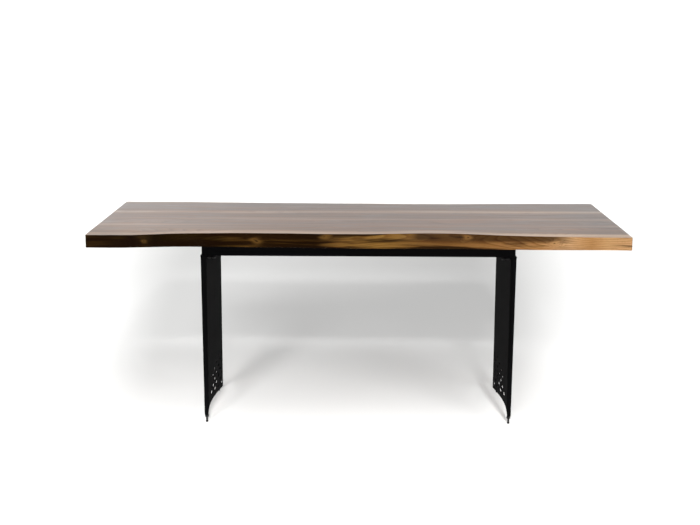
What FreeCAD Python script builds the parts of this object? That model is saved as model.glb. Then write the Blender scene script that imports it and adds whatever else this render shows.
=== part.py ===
import FreeCAD
import Part
import math
import os

# Dining table with a live edge top of four glued boards on a black sheet steel base.
# Millimetres. The origin is on the floor under the middle of the table, X runs along
# the length, the front is at negative Y and Z points up.

# Table top
top_length = 1950.0
top_width = 830.0
top_thickness = 46.0
table_height = 760.0
end_bevel = 1.5
corner_radius = 9.0

# Share of the width taken by each board, from the front board to the rear board.
board_shares = (0.305, 0.175, 0.215, 0.305)
board_names = (
    "board_front_live_edge",
    "board_front_middle",
    "board_rear_middle",
    "board_rear_live_edge",
)

# Live edges: share of the length from the left end, set back of the upper edge and
# set back of the lower edge, both measured from the full width of the top.
front_live_edge = (
    (0.00, 0.0, 0.0),
    (0.09, 3.0, 6.0),
    (0.15, 34.0, 24.0),
    (0.21, 50.0, 29.0),
    (0.32, 60.0, 28.0),
    (0.43, 50.0, 19.0),
    (0.54, 56.0, 10.0),
    (0.65, 77.0, 13.0),
    (0.76, 40.0, 7.0),
    (0.83, 19.0, 1.0),
    (0.92, 5.0, 2.0),
    (1.00, 0.0, 0.0),
)
rear_live_edge = (
    (0.00, 0.0, 0.0),
    (0.16, 2.0, 4.0),
    (0.28, 14.0, 6.0),
    (0.40, 18.0, 2.0),
    (0.52, 22.0, 8.0),
    (0.65, 25.0, 5.0),
    (0.76, 15.0, 2.0),
    (0.88, 4.0, 5.0),
    (1.00, 0.0, 0.0),
)

# Steel under the top: cross flats on two rails
flat_width = 60.0
flat_thickness = 5.0
flat_end_margin = 65.0
flat_inset = 47.0
flat_corner = 6.0
rail_height = 60.0
rail_depth = 30.0
rail_wall = 2.0
rail_corner = 3.0
rail_overhang = 5.5
cap_thickness = 2.5
cap_plug_length = 12.0

# Legs: one folded sheet each, held by a head plate under the rails
sheet = 3.0
foot_x = 577.0
foot_y = 205.0
fold_depth = 39.0
bend_radius = 6.0
fold_radius = 3.0
flange_angle = 30.0
flange_reach_top = 13.0
flange_reach_bottom = 8.0
panel_clearance = 30.0
arch_height = 82.0
arch_past_foot = 5.5
arch_power = 3.2
head_plate_thickness = 5.0
head_plate_reach_in = 6.0
head_plate_reach_out = 14.0
head_plate_corner = 8.0

# Cut pattern in the lower part of the leg sheets
pattern_rows = 8
pattern_row_step = 20.0
pattern_pitch = 50.0
pattern_margin = 14.0
pattern_narrowing = 0.62
arch_gap = 7.0
diamond_width = 28.0
diamond_height = 22.0
diamond_fade = 0.55
link_share = 0.4
link_rows = 5

# Levelling feet
thread_radius = 4.0
running_gap = 0.05
bush_length = 30.0
bush_drop = 1.5
foot_nut_flats = 13.0
foot_nut_height = 8.0
stem_length = 60.0
spigot_radius = 2.4
spigot_length = 4.0
tip_radius = 4.5
tip_height = 7.0

# Bolts from the head plates into nuts inside the rails
bolt_radius = 4.0
bolt_flats = 13.0
bolt_head_height = 5.3
bolt_length = 18.0
bolt_washer_radius = 8.0
bolt_washer_thickness = 1.6
bolt_nut_height = 6.5
bolt_hole_radius = 4.5
bolt_margin = 9.0
bolt_spacing = 17.0

# Screws from the cross flats into threaded inserts in the wood
screw_radius = 3.0
screw_flats = 10.0
screw_head_height = 4.2
screw_length = 20.0
screw_washer_radius = 9.0
screw_washer_thickness = 1.6
screw_slot_radius = 3.5
screw_slot_length = 8.0
screw_end_margin = 30.0
insert_radius = 6.0
insert_length = 16.0
hidden_sides = 8

underside = table_height - top_thickness
rail_top = underside - flat_thickness
rail_bottom = rail_top - rail_height
panel_top = rail_bottom - head_plate_thickness
fold_x = foot_x - fold_depth
flange_edge_top = foot_x + flange_reach_top
flange_edge_bottom = foot_x + flange_reach_bottom
base_depth = 2 * (foot_y + bend_radius + sheet)
rail_offset = (base_depth - rail_depth) / 2
rail_length = 2 * (foot_x + rail_overhang)
head_plate_inner = fold_x - head_plate_reach_in
head_plate_outer = foot_x + head_plate_reach_out
bolt_inner_x = head_plate_inner + bolt_margin
bolt_positions_x = (bolt_inner_x, bolt_inner_x + bolt_spacing)
flat_length = top_width - 2 * flat_end_margin
flat_offset = foot_x - flat_inset
screw_reach_y = flat_length / 2 - screw_end_margin
screw_positions_y = (-screw_reach_y, 0.0, screw_reach_y)


def save(name, shape):
    shape.exportStep("parts/" + name + ".step")


def group(shapes):
    return Part.makeCompound(shapes)


def block(x0, x1, y0, y1, z0, z1):
    return Part.makeBox(x1 - x0, y1 - y0, z1 - z0, FreeCAD.Vector(x0, y0, z0))


def rod(x, y, z0, z1, radius):
    return Part.makeCylinder(radius, z1 - z0, FreeCAD.Vector(x, y, z0))


# Small round pieces and holes that stay out of sight have few sides.
def facet_rod(x, y, z0, z1, radius):
    points = []
    for corner in range(hidden_sides):
        angle = 2 * math.pi * corner / hidden_sides
        points.append((x + radius * math.cos(angle), y + radius * math.sin(angle)))
    return prism(points, z0, z1)


# Tool for a hidden hole with few sides: its flats touch the circle of the given radius.
def facet_hole(x, y, z0, z1, radius):
    return facet_rod(x, y, z0, z1, radius / math.cos(math.pi / hidden_sides))


def prism(points, z0, z1):
    corners = [FreeCAD.Vector(x, y, z0) for x, y in points]
    face = Part.Face(Part.makePolygon(corners + [corners[0]]))
    return face.extrude(FreeCAD.Vector(0, 0, z1 - z0))


def hexagon(x, y, z0, z1, flats):
    radius = flats / 2 / math.cos(math.pi / 6)
    points = []
    for corner in range(6):
        angle = math.pi / 3 * corner
        points.append((x + radius * math.cos(angle), y + radius * math.sin(angle)))
    return prism(points, z0, z1)


def upright_edges(shape):
    chosen = []
    for edge in shape.Edges:
        first, last = edge.Vertexes[0].Point, edge.Vertexes[-1].Point
        if abs(first.x - last.x) < 0.001 and abs(first.y - last.y) < 0.001:
            chosen.append(edge)
    return chosen


def mirrored(shape):
    return shape.mirror(FreeCAD.Vector(0, 0, 0), FreeCAD.Vector(1, 0, 0))


# Natural edge of a board: the waste body lies outside a smooth surface through the
# upper and lower edge, and is cut away from the squared board.
def edge_waste(stations, side):
    reach = 60.0
    sections = []
    for share in (-0.15, 0.5, 1.15):
        lean = math.copysign(abs(share) ** 1.5, share)
        height = underside + share * top_thickness
        points = []
        for along, upper, lower in stations:
            back = lower + (upper - lower) * lean
            x = (along - 0.5) * (top_length + 2 * end_bevel)
            points.append(FreeCAD.Vector(x, side * (top_width / 2 - back), height))
        curve = Part.BSplineCurve()
        curve.interpolate(points)
        outer_y = side * (top_width / 2 + reach)
        right = FreeCAD.Vector(points[-1].x, outer_y, height)
        left = FreeCAD.Vector(points[0].x, outer_y, height)
        edges = [
            curve.toShape(),
            Part.makeLine(points[-1], right),
            Part.makeLine(right, left),
            Part.makeLine(left, points[0]),
        ]
        sections.append(Part.Wire(edges))
    return Part.makeLoft(sections, True, False)


# Small bevels along both ends of the top.
def end_bevels():
    cutters = []
    for side in (-1, 1):
        for z, up in ((table_height, -1), (underside, 1)):
            end = side * top_length / 2
            corners = [
                FreeCAD.Vector(end - side * end_bevel, -top_width, z),
                FreeCAD.Vector(end + side * 5, -top_width, z - up * 5),
                FreeCAD.Vector(end + side * 5, -top_width, z + up * end_bevel),
                FreeCAD.Vector(end, -top_width, z + up * end_bevel),
            ]
            face = Part.Face(Part.makePolygon(corners + [corners[0]]))
            cutters.append(face.extrude(FreeCAD.Vector(0, 2 * top_width, 0)))
    return cutters


# Rounded corners of the top, seen from above.
def corner_cutters():
    cutters = []
    for side_x in (-1, 1):
        for side_y in (-1, 1):
            x = side_x * (top_length / 2 - corner_radius)
            y = side_y * (top_width / 2 - corner_radius)
            far_x = x + side_x * 2 * corner_radius
            far_y = y + side_y * 2 * corner_radius
            square = block(
                min(x, far_x), max(x, far_x), min(y, far_y), max(y, far_y),
                underside - 1, table_height + 1,
            )
            post = rod(x, y, underside - 2, table_height + 2, corner_radius)
            cutters.append(square.cut(post))
    return cutters


def make_boards():
    screw_places = [(x, y) for x in flat_places() for y in screw_positions_y]
    holes = []
    for x, y in screw_places:
        holes.append(facet_rod(
            x, y, underside - 1, underside + insert_length, insert_radius
        ))
    trims = end_bevels() + corner_cutters() + holes
    front = -top_width / 2
    for name, share in zip(board_names, board_shares):
        rear = front + share * top_width
        board = block(
            -top_length / 2, top_length / 2, front, rear, underside, table_height
        )
        if name == board_names[0]:
            board = board.cut(edge_waste(front_live_edge, -1))
        if name == board_names[-1]:
            board = board.cut(edge_waste(rear_live_edge, 1))
        save(name, board.cut(trims))
        front = rear


def flat_places():
    return (-flat_offset, 0.0, flat_offset)


# Cross flats lie on the rails and carry the boards over their whole width.
def make_cross_flats():
    for name, x in zip(("left", "middle", "right"), flat_places()):
        flat = block(
            x - flat_width / 2, x + flat_width / 2,
            -flat_length / 2, flat_length / 2, rail_top, underside,
        )
        flat = flat.makeFillet(flat_corner, upright_edges(flat))
        slots = []
        for y in screw_positions_y:
            half = screw_slot_length / 2
            radius = screw_slot_radius
            outline = []
            for side in (-1, 1):
                for step in range(5):
                    angle = math.pi / 4 * step
                    outline.append((
                        x + side * radius * math.cos(angle),
                        y + side * (half + radius * math.sin(angle)),
                    ))
            slots.append(prism(outline, rail_top - 1, underside + 1))
        save("cross_flat_" + name, flat.cut(slots))


def long_edges(bar, length):
    return [edge for edge in bar.Edges if abs(edge.Length - length) < 0.001]


def make_rails():
    caps = []
    for name, y in (("rail_front", -rail_offset), ("rail_rear", rail_offset)):
        outside = block(
            -rail_length / 2, rail_length / 2, y - rail_depth / 2, y + rail_depth / 2,
            rail_bottom, rail_top,
        )
        outside = outside.makeFillet(rail_corner, long_edges(outside, rail_length))
        inside = block(
            -rail_length / 2 - 5, rail_length / 2 + 5,
            y - rail_depth / 2 + rail_wall, y + rail_depth / 2 - rail_wall,
            rail_bottom + rail_wall, rail_top - rail_wall,
        )
        holes = []
        for x in bolt_positions_x:
            for side in (-1, 1):
                holes.append(facet_rod(
                    side * x, y, rail_bottom - 1, rail_bottom + rail_wall + 1,
                    bolt_hole_radius,
                ))
        save(name, outside.cut(inside).cut(holes))
        for side in (-1, 1):
            end = side * rail_length / 2
            cap_face = end + side * cap_thickness
            plug_end = end - side * cap_plug_length
            cover = block(
                min(end, cap_face), max(end, cap_face),
                y - rail_depth / 2, y + rail_depth / 2, rail_bottom, rail_top,
            )
            cover = cover.makeChamfer(
                rail_corner * 0.6, long_edges(cover, cap_thickness)
            )
            plug = block(
                min(end, plug_end), max(end, plug_end),
                y - rail_depth / 2 + rail_wall, y + rail_depth / 2 - rail_wall,
                rail_bottom + rail_wall, rail_top - rail_wall,
            )
            caps.append(cover.fuse(plug).removeSplitter())
    save("rail_end_caps", group(caps))


# Plan of one leg sheet as distance from the middle of the table and distance from the
# cross plane. The bend around each foot keeps an even distance from the foot axis.
def leg_plan():
    middle_radius = bend_radius + sheet / 2
    reach = math.hypot(foot_x - fold_x, foot_y)
    slope = math.atan2(foot_x - fold_x, foot_y) - math.asin(middle_radius / reach)
    along = (math.sin(slope), math.cos(slope))
    turn = math.radians(flange_angle)
    flange = (math.cos(turn), -math.sin(turn))
    start = (
        foot_x + middle_radius * math.sin(turn),
        foot_y + middle_radius * math.cos(turn),
    )
    across = start[0] - fold_x
    cross = along[0] * flange[1] - along[1] * flange[0]
    distance = (across * flange[1] - start[1] * flange[0]) / cross
    ridge = (fold_x + along[0] * distance, along[1] * distance)
    tip_length = (flange_edge_top + 4 - ridge[0]) / flange[0]
    tip = (ridge[0] + flange[0] * tip_length, ridge[1] + flange[1] * tip_length)
    return tip, ridge, slope


def offset_line(points, distance):
    result = []
    for index, point in enumerate(points):
        normals = []
        for first, last in ((index - 1, index), (index, index + 1)):
            if first >= 0 and last < len(points):
                dx = points[last][0] - points[first][0]
                dy = points[last][1] - points[first][1]
                length = math.hypot(dx, dy)
                normals.append((-dy / length, dx / length))
        if len(normals) == 1:
            normals = normals * 2
        dot = normals[0][0] * normals[1][0] + normals[0][1] * normals[1][1]
        scale = distance / (1 + dot)
        result.append((
            point[0] + scale * (normals[0][0] + normals[1][0]),
            point[1] + scale * (normals[0][1] + normals[1][1]),
        ))
    return result


def edges_near(shape, points):
    chosen = []
    for edge in upright_edges(shape):
        place = edge.Vertexes[0].Point
        for x, y in points:
            if math.hypot(place.x - x, place.y - y) < 0.01:
                chosen.append(edge)
    return chosen


# Opening under the sheet between the two feet: a flattened half ellipse that runs
# into the bends, so that each bush shows from inside.
def arch_cutter():
    half = foot_y + arch_past_foot
    rise = arch_height - panel_clearance
    steps = 10
    points = []
    for step in range(2 * steps + 1):
        angle = math.pi * step / (2 * steps)
        cosine, sine = math.cos(angle), math.sin(angle)
        y = half * math.copysign(abs(cosine) ** (2 / arch_power), cosine)
        z = panel_clearance + rise * abs(sine) ** (2 / arch_power)
        points.append(FreeCAD.Vector(fold_x - 60, y, z))
    curve = Part.BSplineCurve()
    curve.interpolate(points)
    low_right = FreeCAD.Vector(fold_x - 60, -half, 0)
    low_left = FreeCAD.Vector(fold_x - 60, half, 0)
    wire = Part.Wire([
        curve.toShape(),
        Part.makeLine(points[-1], low_right),
        Part.makeLine(low_right, low_left),
        Part.makeLine(low_left, points[0]),
    ])
    return Part.Face(wire).extrude(FreeCAD.Vector(200, 0, 0))


# Height of the arch at a distance from the middle of the sheet.
def arch_line(distance):
    share = min(1.0, distance / (foot_y + arch_past_foot))
    rise = arch_height - panel_clearance
    return panel_clearance + rise * (1 - share ** arch_power) ** (1 / arch_power)


def diamond(centre, height, width, tall):
    corners = [
        FreeCAD.Vector(-20, centre - width / 2, height),
        FreeCAD.Vector(-20, centre, height - tall / 2),
        FreeCAD.Vector(-20, centre + width / 2, height),
        FreeCAD.Vector(-20, centre, height + tall / 2),
    ]
    face = Part.Face(Part.makePolygon(corners + [corners[0]]))
    return face.extrude(FreeCAD.Vector(40, 0, 0))


# Rows of diamonds that grow smaller and shorter upward, with small diamonds between.
def pattern_cutters(slope):
    usable = foot_y - bend_radius - sheet - pattern_margin
    first_height = arch_height + arch_gap / 2
    cutters = []
    for row in range(pattern_rows):
        share = row / (pattern_rows - 1)
        size = 1 - diamond_fade * share
        height = first_height + row * pattern_row_step
        reach = usable * (1 - pattern_narrowing * share ** 2)
        place = pattern_margin + pattern_pitch / 2 * ((row + 1) % 2)
        spots = []
        while place < reach:
            spots.append((place, size))
            between = place + pattern_pitch / 2
            if between < reach and row < link_rows:
                spots.append((between, size * link_share))
            place += pattern_pitch
        for centre, scale in spots:
            width, tall = diamond_width * scale, diamond_height * scale
            inner_edge = max(0.0, centre - width / 2)
            if height - tall / 2 > arch_line(inner_edge) + arch_gap:
                cutters.append(diamond(centre, height, width, tall))
    placed = []
    for side in (-1, 1):
        for cutter in cutters:
            copy = cutter.copy()
            if side < 0:
                copy = copy.mirror(FreeCAD.Vector(0, 0, 0), FreeCAD.Vector(0, 1, 0))
            copy.rotate(
                FreeCAD.Vector(0, 0, 0), FreeCAD.Vector(0, 0, 1),
                -side * math.degrees(slope),
            )
            copy.translate(FreeCAD.Vector(fold_x, 0, 0))
            placed.append(copy)
    return placed


def make_leg_sheets():
    tip, ridge, slope = leg_plan()
    fold = (fold_x, 0.0)
    line = [(tip[0], -tip[1]), (ridge[0], -ridge[1]), fold, ridge, tip]
    one_face = offset_line(line, sheet / 2)
    other_face = offset_line(line, -sheet / 2)
    body = prism(one_face + other_face[::-1], panel_clearance, panel_top)
    tight = []
    wide = []
    for index in (1, 3):
        pair = (one_face[index], other_face[index])
        near = [math.hypot(p[0] - foot_x, abs(p[1]) - foot_y) for p in pair]
        tight.append(pair[0] if near[0] < near[1] else pair[1])
        wide.append(pair[1] if near[0] < near[1] else pair[0])
    body = body.makeFillet(bend_radius, edges_near(body, tight))
    body = body.makeFillet(bend_radius + sheet, edges_near(body, wide))
    inner = min(one_face[2], other_face[2])
    outer = max(one_face[2], other_face[2])
    body = body.makeFillet(fold_radius + sheet, edges_near(body, [inner]))
    body = body.makeFillet(fold_radius, edges_near(body, [outer]))
    taper = [
        FreeCAD.Vector(flange_edge_bottom, -foot_y - 60, 0),
        FreeCAD.Vector(flange_edge_bottom, -foot_y - 60, panel_clearance),
        FreeCAD.Vector(flange_edge_top, -foot_y - 60, panel_top + 1),
        FreeCAD.Vector(flange_edge_top + 60, -foot_y - 60, panel_top + 1),
        FreeCAD.Vector(flange_edge_top + 60, -foot_y - 60, 0),
    ]
    taper_face = Part.Face(Part.makePolygon(taper + [taper[0]]))
    taper_body = taper_face.extrude(FreeCAD.Vector(0, 2 * foot_y + 120, 0))
    body = body.cut([taper_body, arch_cutter()])
    body = body.cut(pattern_cutters(slope))
    save("leg_sheet_right", body)
    save("leg_sheet_left", mirrored(body))


def make_head_plates():
    plate = block(
        head_plate_inner, head_plate_outer, -base_depth / 2, base_depth / 2,
        panel_top, rail_bottom,
    )
    plate = plate.makeFillet(head_plate_corner, upright_edges(plate))
    holes = []
    for x in bolt_positions_x:
        for y in (-rail_offset, rail_offset):
            holes.append(facet_rod(
                x, y, panel_top - 1, rail_bottom + 1, bolt_hole_radius
            ))
    plate = plate.cut(holes)
    save("leg_head_plate_right", plate)
    save("leg_head_plate_left", mirrored(plate))


# Stem with a plain spigot below, on which the tip turns.
def foot_stem(x, y):
    stem = rod(x, y, tip_height, tip_height + stem_length, thread_radius)
    spigot = facet_rod(x, y, tip_height - spigot_length, tip_height, spigot_radius)
    return stem.fuse(spigot)


def foot_tip(x, y):
    tip = rod(x, y, 0, tip_height, tip_radius)
    socket_floor = tip_height - spigot_length - running_gap
    socket = facet_hole(x, y, socket_floor, tip_height + 1, spigot_radius + running_gap)
    return tip.cut(socket)


def make_feet():
    bushes = []
    nuts = []
    bush_bottom = panel_clearance - bush_drop
    nut_bottom = bush_bottom - foot_nut_height
    for side_x, x_name in ((-1, "left"), (1, "right")):
        for side_y, y_name in ((-1, "front"), (1, "rear")):
            x, y = side_x * foot_x, side_y * foot_y
            name = y_name + "_" + x_name
            save("foot_stem_" + name, foot_stem(x, y))
            save("foot_tip_" + name, foot_tip(x, y))
            bush = rod(x, y, bush_bottom, bush_bottom + bush_length, bend_radius)
            hole = facet_hole(
                x, y, 0, bush_bottom + bush_length + 1, thread_radius + running_gap
            )
            bushes.append(bush.cut(hole))
            nut = hexagon(x, y, nut_bottom, bush_bottom, foot_nut_flats)
            nuts.append(nut.cut(hole))
    save("foot_bushes", group(bushes))
    save("foot_lock_nuts", group(nuts))


# Flat washer with few sides, for bolts and screws under the top.
def washer_at(x, y, bottom, thickness, radius, hole_radius):
    plate = facet_rod(x, y, bottom, bottom + thickness, radius)
    return plate.cut(facet_rod(x, y, bottom - 1, bottom + thickness + 1, hole_radius))


def make_leg_bolts():
    bolts = []
    washers = []
    nuts = []
    washer_bottom = panel_top - bolt_washer_thickness
    head_bottom = washer_bottom - bolt_head_height
    nut_bottom = rail_bottom + rail_wall
    nut_top = nut_bottom + bolt_nut_height
    for side in (-1, 1):
        for x in bolt_positions_x:
            for y in (-rail_offset, rail_offset):
                place = side * x
                head = hexagon(place, y, head_bottom, washer_bottom, bolt_flats)
                shank = facet_rod(
                    place, y, washer_bottom, washer_bottom + bolt_length, bolt_radius
                )
                bolts.append(head.fuse(shank))
                washers.append(washer_at(
                    place, y, washer_bottom, bolt_washer_thickness,
                    bolt_washer_radius, bolt_radius,
                ))
                nut = hexagon(place, y, nut_bottom, nut_top, bolt_flats)
                nuts.append(nut.cut(
                    facet_rod(place, y, nut_bottom - 1, nut_top + 1, bolt_radius)
                ))
    save("leg_bolts", group(bolts))
    save("leg_bolt_washers", group(washers))
    save("rail_nuts", group(nuts))


def make_top_screws():
    screws = []
    washers = []
    inserts = []
    washer_bottom = rail_top - screw_washer_thickness
    head_bottom = washer_bottom - screw_head_height
    for x in flat_places():
        for y in screw_positions_y:
            head = hexagon(x, y, head_bottom, washer_bottom, screw_flats)
            shank = facet_rod(
                x, y, washer_bottom, washer_bottom + screw_length, screw_radius
            )
            screws.append(head.fuse(shank))
            washers.append(washer_at(
                x, y, washer_bottom, screw_washer_thickness,
                screw_washer_radius, screw_radius,
            ))
            insert = facet_rod(
                x, y, underside, underside + insert_length, insert_radius
            )
            inserts.append(insert.cut(facet_rod(
                x, y, underside - 1, underside + insert_length + 1, screw_radius
            )))
    save("top_screws", group(screws))
    save("top_screw_washers", group(washers))
    save("top_inserts", group(inserts))


os.makedirs("parts", exist_ok=True)
make_boards()
make_cross_flats()
make_rails()
make_leg_sheets()
make_head_plates()
make_feet()
make_leg_bolts()
make_top_screws()
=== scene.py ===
import bpy
import math
from mathutils import Matrix, Vector, noise


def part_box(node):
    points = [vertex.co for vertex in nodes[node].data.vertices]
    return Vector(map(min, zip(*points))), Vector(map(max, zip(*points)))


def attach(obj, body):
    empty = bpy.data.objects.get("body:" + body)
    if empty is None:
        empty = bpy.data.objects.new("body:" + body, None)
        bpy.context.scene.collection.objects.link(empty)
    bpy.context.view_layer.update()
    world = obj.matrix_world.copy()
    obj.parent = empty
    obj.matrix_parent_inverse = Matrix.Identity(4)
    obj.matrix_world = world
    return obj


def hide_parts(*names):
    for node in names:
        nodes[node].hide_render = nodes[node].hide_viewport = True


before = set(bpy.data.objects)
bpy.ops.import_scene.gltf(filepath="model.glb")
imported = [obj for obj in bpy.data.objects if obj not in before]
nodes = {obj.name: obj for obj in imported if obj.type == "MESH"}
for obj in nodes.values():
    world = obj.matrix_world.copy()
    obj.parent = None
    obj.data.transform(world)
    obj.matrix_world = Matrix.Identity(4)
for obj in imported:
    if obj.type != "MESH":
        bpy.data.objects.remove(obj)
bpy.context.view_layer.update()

bpy.ops.object.select_all(action="DESELECT")
bpy.context.tool_settings.mesh_select_mode = (False, True, False)

# Table top: four full-length boards of oiled walnut, glued edge to edge and planed
# flush. The outer boards keep the grown surface of the trunk as a live edge, with the
# bark taken off: waves along the fibre, hollows, and a few small branch knots.
board_length = 1.950
front_face = -0.415
rear_face = 0.415
joint_lines = (-0.16185, -0.0166, 0.16185)
board_underside = 0.714
board_top = 0.760
corner_round = 0.009
arris_round = 0.0022
joint_groove = 0.0004

# The grown surface: how far in from the sawn face it may lie, how deep its waves, ridges
# and rings round knots are, and over what length they run out before the ends.
live_band = 0.09
wave_depth = 0.0022
ridge_depth = 0.0009
knot_ring_depth = 0.0008
wave_run_out = 0.05

# Branch knots on the live edge: place along the board, height, half width, and how far
# the wood around them stands out or falls in.
front_knots = (
    (-0.764, 0.733, 0.006, 0.0010), (-0.366, 0.733, 0.009, 0.0016),
    (-0.123, 0.751, 0.009, 0.0012), (0.389, 0.749, 0.007, 0.0010),
    (0.702, 0.740, 0.008, -0.0012),
)
rear_knots = (
    (-0.610, 0.733, 0.014, 0.0015), (0.095, 0.745, 0.016, 0.0018),
    (0.540, 0.728, 0.012, -0.0015),
)


def choose_edges(piece, test):
    bpy.ops.object.select_all(action="DESELECT")
    bpy.context.view_layer.objects.active = piece
    piece.select_set(True)
    for corner in piece.data.vertices:
        corner.select = False
    for face in piece.data.polygons:
        face.select = False
    corners = [corner.co for corner in piece.data.vertices]
    for edge in piece.data.edges:
        edge.select = test(corners[edge.vertices[0]], corners[edge.vertices[1]])
    bpy.ops.object.mode_set(mode="EDIT")


def leave_edit_mode():
    bpy.ops.object.mode_set(mode="OBJECT")


def round_edges(piece, test, width, segments):
    choose_edges(piece, test)
    bpy.ops.mesh.bevel(offset=width, segments=segments, affect="EDGES")
    leave_edit_mode()


def divide_edges(piece, test, cuts):
    choose_edges(piece, test)
    bpy.ops.mesh.subdivide(number_cuts=cuts)
    leave_edit_mode()


def at(value, place):
    return abs(value - place) < 0.0001


def planed_board(name, front, rear, live_side, knots, seed, cad_node):
    bpy.ops.object.select_all(action="DESELECT")
    bpy.ops.mesh.primitive_cube_add(
        size=1, location=(0, (front + rear) / 2, (board_underside + board_top) / 2))
    board = bpy.context.object
    board.name = name
    board.scale = (board_length, rear - front, board_top - board_underside)
    bpy.ops.object.transform_apply(location=True, rotation=True, scale=True)
    live_face = front if live_side < 0 else rear
    if live_side:
        round_edges(board, lambda a, b: at(a.y, live_face) and at(b.y, live_face)
                    and not at(a.z, b.z), corner_round, 5)
    cuts_along = 259 if live_side else 39
    cuts_up = 9
    divide_edges(board, lambda a, b: abs(a.x - b.x) > 1.0, cuts_along)
    if live_side:
        reach = corner_round + 0.001
        divide_edges(board, lambda a, b: at(a.x, b.x) and not at(a.z, b.z)
                     and abs(a.y - live_face) < reach, cuts_up)

        # The face is laid on the CAD node's sawn curve, drawn in a little in height
        # meanwhile, because a ray along the arris itself would miss the node.
        flat_end = board_length / 2 - corner_round
        grown = board.vertex_groups.new(name="grown_surface")
        grown.add([corner.index for corner in board.data.vertices
                   if at(corner.co.y, live_face) and abs(corner.co.x) < flat_end + 0.0001],
                  1.0, "REPLACE")
        middle = (board_underside + board_top) / 2
        drawn_in = 0.985
        for corner in board.data.vertices:
            corner.co.z = middle + (corner.co.z - middle) * drawn_in
        wrap = board.modifiers.new("follow_trunk", "SHRINKWRAP")
        wrap.target = nodes[cad_node]
        wrap.wrap_method = "PROJECT"
        wrap.use_project_x = False
        wrap.use_project_y = True
        wrap.use_positive_direction = live_side < 0
        wrap.use_negative_direction = live_side > 0
        wrap.vertex_group = "grown_surface"
        bpy.ops.object.modifier_apply(modifier=wrap.name)
        for corner in board.data.vertices:
            corner.co.z = middle + (corner.co.z - middle) / drawn_in

        # Waves of the grown surface, always inside the sawn outline.
        for corner in board.data.vertices:
            place = corner.co
            room = abs(place.y - live_face)
            if room > live_band or abs(place.x) > flat_end - 0.002:
                continue
            fade = min(1.0, (flat_end - abs(place.x)) / wave_run_out)
            wave = noise.noise(Vector((place.x * 9 + seed, place.z * 22, seed)))
            ridge = noise.noise(Vector((place.x * 26, place.z * 110 + seed, seed)))
            depth = wave_depth * (wave + 0.45) + ridge_depth * (ridge + 0.4)
            for knot_x, knot_z, size, swell in knots:
                away = math.hypot((place.x - knot_x) * 0.6, place.z - knot_z) / size
                depth -= swell * math.exp(-away * away)
                ring = (away - 1.3) / 0.45
                depth += knot_ring_depth * math.exp(-ring * ring)
            place.y -= live_side * max(-room, depth * fade)

    def at_joint(a, b):
        return any(at(a.y, line) and at(b.y, line) for line in joint_lines)

    round_edges(board, lambda a, b: not at(a.x, b.x) and at_joint(a, b)
                and (at(a.z, board_top) or at(a.z, board_underside)) and at(a.z, b.z),
                joint_groove, 1)

    def open_arris(a, b):
        level = (at(a.z, board_top) and at(b.z, board_top)) or (
            at(a.z, board_underside) and at(b.z, board_underside))
        at_end = at(abs(a.x), board_length / 2) and at(abs(b.x), board_length / 2)
        at_glue_line = all(abs(p.y - line) < 0.001 for p in (a, b) for line in (front, rear)
                           if not (live_side and line == live_face))
        along_face = live_side and not at(a.x, b.x) and all(
            abs(p.y - live_face) < live_band for p in (a, b))
        return level and (at_end or along_face) and (at_end or not at_glue_line)

    choose_edges(board, open_arris)
    bpy.ops.mesh.bevel(offset=arris_round, segments=3, affect="EDGES",
                       clamp_overlap=True)
    bpy.ops.mesh.select_all(action="SELECT")
    bpy.ops.mesh.remove_doubles(threshold=0.00002)
    bpy.ops.mesh.normals_make_consistent(inside=False)
    leave_edit_mode()
    bpy.ops.object.shade_smooth_by_angle(angle=math.radians(38))
    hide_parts(cad_node)
    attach(board, "table")
    return board


def linear(code):
    channels = [int(code[place:place + 2], 16) / 255 for place in (1, 3, 5)]
    curved = [c / 12.92 if c <= 0.04045 else ((c + 0.055) / 1.055) ** 2.4 for c in channels]
    return (*curved, 1.0)


def add_node(tree, kind, values=None, **settings):
    node = tree.nodes.new(kind)
    for name, value in settings.items():
        if name == "stops":
            marks = node.color_ramp.elements
            while len(marks) < len(value):
                marks.new(1.0)
            for mark, (place, code) in zip(marks, value):
                mark.position = place
                mark.color = linear(code)
        else:
            setattr(node, name, value)
    for socket, value in (values or {}).items():
        if isinstance(value, bpy.types.Node):
            value = next(output for output in value.outputs if output.enabled)
        if isinstance(value, bpy.types.NodeSocket):
            tree.links.new(value, node.inputs[socket])
        else:
            node.inputs[socket].default_value = value
    return node


def new_material(name):
    material = bpy.data.materials.new(name)
    material.use_nodes = True
    material.node_tree.nodes.clear()
    return material, material.node_tree


# Oiled walnut: rings 6 mm apart round a pith below the board, so that one solid
# pattern gives stripes on the faces and arcs on the end grain. Pores are dashes under
# 1 mm wide. The oil leaves a satin sheen, which shows the bright room at low angles.
ring_scale = 52.0


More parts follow.
